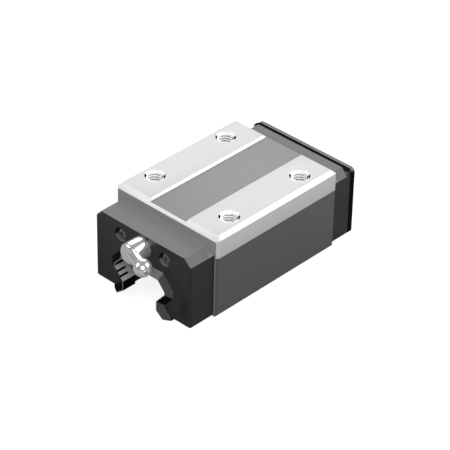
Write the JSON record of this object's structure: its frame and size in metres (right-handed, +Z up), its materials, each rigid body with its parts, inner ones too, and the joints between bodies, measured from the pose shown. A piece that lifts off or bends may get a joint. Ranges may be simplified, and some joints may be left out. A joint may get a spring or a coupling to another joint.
{
  "type": "linear bearing block",
  "caption": "Recirculating-ball linear bearing block with ground steel body, four threaded mounting holes, black end caps, rail seals and an angled grease nipple.",
  "frame": {"origin": "the centre of the four mounting threads, on the plane of the ground top face", "axes": "+X across the block towards the side that the nipple's head is turned to, +Y along the rail away from the grease nipple, +Z up, out of the mounting face"},
  "size_m": [0.048, 0.0954, 0.0331],
  "materials": {
    "ground_steel": "ground, bright",
    "black_plastic": "moulded, satin",
    "guide_plastic": "moulded, plain",
    "seal_rubber": "moulded, soft",
    "ball_steel": "polished",
    "dark_screw_steel": "black oxide",
    "plated_steel": "bright plated",
    "spring_steel": "drawn wire"
  },
  "bodies": {
    "bearing_block": {"carriage_block": "ground_steel", "front_cap_screws": "dark_screw_steel", "front_end_cap": "black_plastic", "front_left_return_guide": "guide_plastic", "front_right_return_guide": "guide_plastic", "front_seal_carrier": "black_plastic", "front_seal_lip": "seal_rubber", "grease_nipple": "plated_steel", "left_ball_retainer": "guide_plastic", "left_lower_retainer": "guide_plastic", "left_side_seal": "seal_rubber", "lower_left_balls": "ball_steel", "lower_right_balls": "ball_steel", "nipple_spring": "spring_steel", "rear_cap_screws": "dark_screw_steel", "rear_end_cap": "black_plastic", "rear_left_return_guide": "guide_plastic", "rear_port_plug": "dark_screw_steel", "rear_right_return_guide": "guide_plastic", "rear_seal_lip": "seal_rubber", "rear_seal_plate": "black_plastic", "rear_seal_rubber": "seal_rubber", "right_ball_retainer": "guide_plastic", "right_lower_retainer": "guide_plastic", "right_side_seal": "seal_rubber", "upper_ball_retainer": "guide_plastic", "upper_left_balls": "ball_steel", "upper_right_balls": "ball_steel"},
    "check_ball": {"nipple_check_ball": "ball_steel"}
  },
  "joints": [
    {"name": "check_ball_slide", "type": "slide", "parent": "bearing_block", "child": "check_ball", "axis": [-0.9239, 0.3827, 0], "range_m": [0, 0.0008], "stiffness_N_per_m": 500, "springref_m": -0.0005, "deforming": ["nipple_spring"]}
  ]
}
